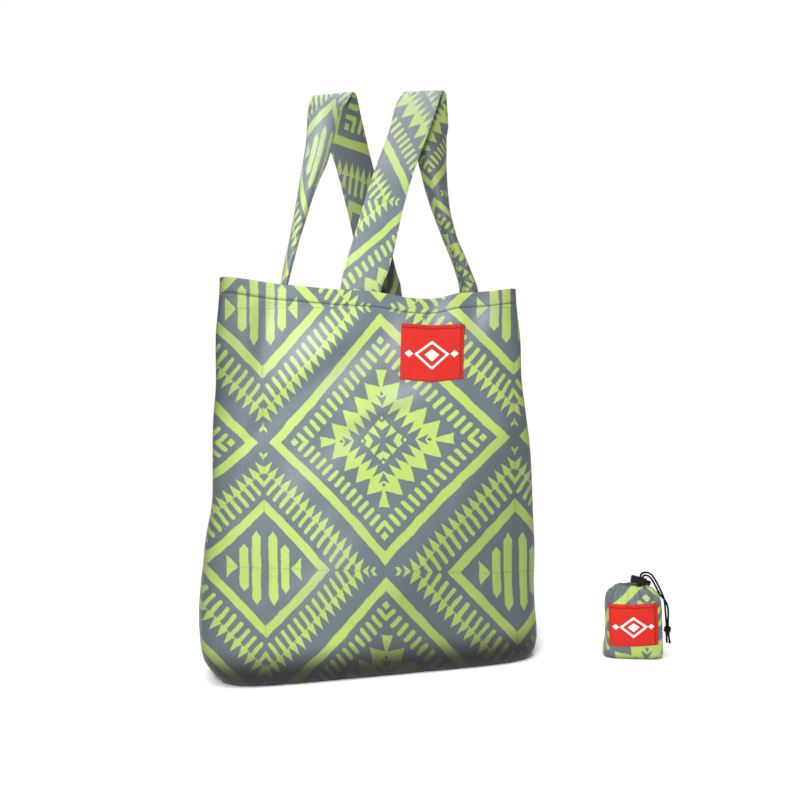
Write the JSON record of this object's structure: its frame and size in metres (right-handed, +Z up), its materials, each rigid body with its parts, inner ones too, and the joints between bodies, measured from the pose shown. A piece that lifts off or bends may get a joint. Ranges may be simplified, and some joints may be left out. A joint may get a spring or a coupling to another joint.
{
  "type": "foldable tote bag",
  "caption": "Thin cloth tote bag with two shoulder straps, a sewn patch and a small drawcord pouch with a push-button cord lock.",
  "frame": {"origin": "middle of the bag's base, on the surface that it stands on", "axes": "+Z up, +X to the right along the bag's width as its patch is faced, -Y out of the patched front"},
  "size_m": [0.5685, 0.1339, 0.6998],
  "materials": {
    "printed_cloth": "thin ripstop polyester with a lime and grey geometric print, soft sheen",
    "patch_cloth": "smooth red woven label cloth with a plain white motif",
    "binding_tape": "grey woven binding tape",
    "cord": "black braided polyester cord",
    "lock_plastic": "black moulded acetal, satin",
    "spring_steel": "drawn spring wire"
  },
  "bodies": {
    "bag": {"front_panel": "printed_cloth", "back_panel": "printed_cloth", "left_seam_binding": "binding_tape", "right_seam_binding": "binding_tape", "base_seam_binding": "binding_tape", "left_corner_binding": "binding_tape", "right_corner_binding": "binding_tape", "front_patch": "patch_cloth", "front_handle_left_end": "printed_cloth", "front_handle_right_end": "printed_cloth", "back_handle_left_end": "printed_cloth", "back_handle_right_end": "printed_cloth"},
    "front_loop": {"front_handle": "printed_cloth"},
    "back_loop": {"back_handle": "printed_cloth"},
    "pouch": {"pouch_front_panel": "printed_cloth", "pouch_back_panel": "printed_cloth", "pouch_channel_lining": "printed_cloth", "pouch_patch": "patch_cloth", "drawcord_loop": "cord", "drawcord_neck": "cord"},
    "cord_lock": {"cord_lock_barrel": "lock_plastic", "cord_lock_spring": "spring_steel", "drawcord_inner_strand": "cord", "drawcord_outer_strand": "cord", "drawcord_knot": "cord"},
    "lock_plunger": {"cord_lock_plunger": "lock_plastic"}
  },
  "joints": [
    {"name": "front_handle_fold", "type": "hinge", "parent": "bag", "child": "front_loop", "pos_m": [0, -0.023, 0.456], "axis": [1, 0, 0], "range_deg": [0, 165]},
    {"name": "back_handle_fold", "type": "hinge", "parent": "bag", "child": "back_loop", "pos_m": [0, 0.024, 0.46], "axis": [-1, 0, 0], "range_deg": [0, 165]},
    {"name": "pouch_lift", "type": "slide", "parent": "bag", "child": "pouch", "axis": [0, 0, 1], "range_m": [0, 0.2]},
    {"name": "cord_lock_slide", "type": "slide", "parent": "pouch", "child": "cord_lock", "axis": [0.2273, -0.0827, 0.9703], "range_m": [0, 0.008]},
    {"name": "cord_lock_press", "type": "slide", "parent": "cord_lock", "child": "lock_plunger", "axis": [-0.9118, 0.3319, 0.2419], "range_m": [0, 0.003], "stiffness_N_per_m": 400, "springref_m": -0.002, "deforming": ["cord_lock_spring"]}
  ]
}
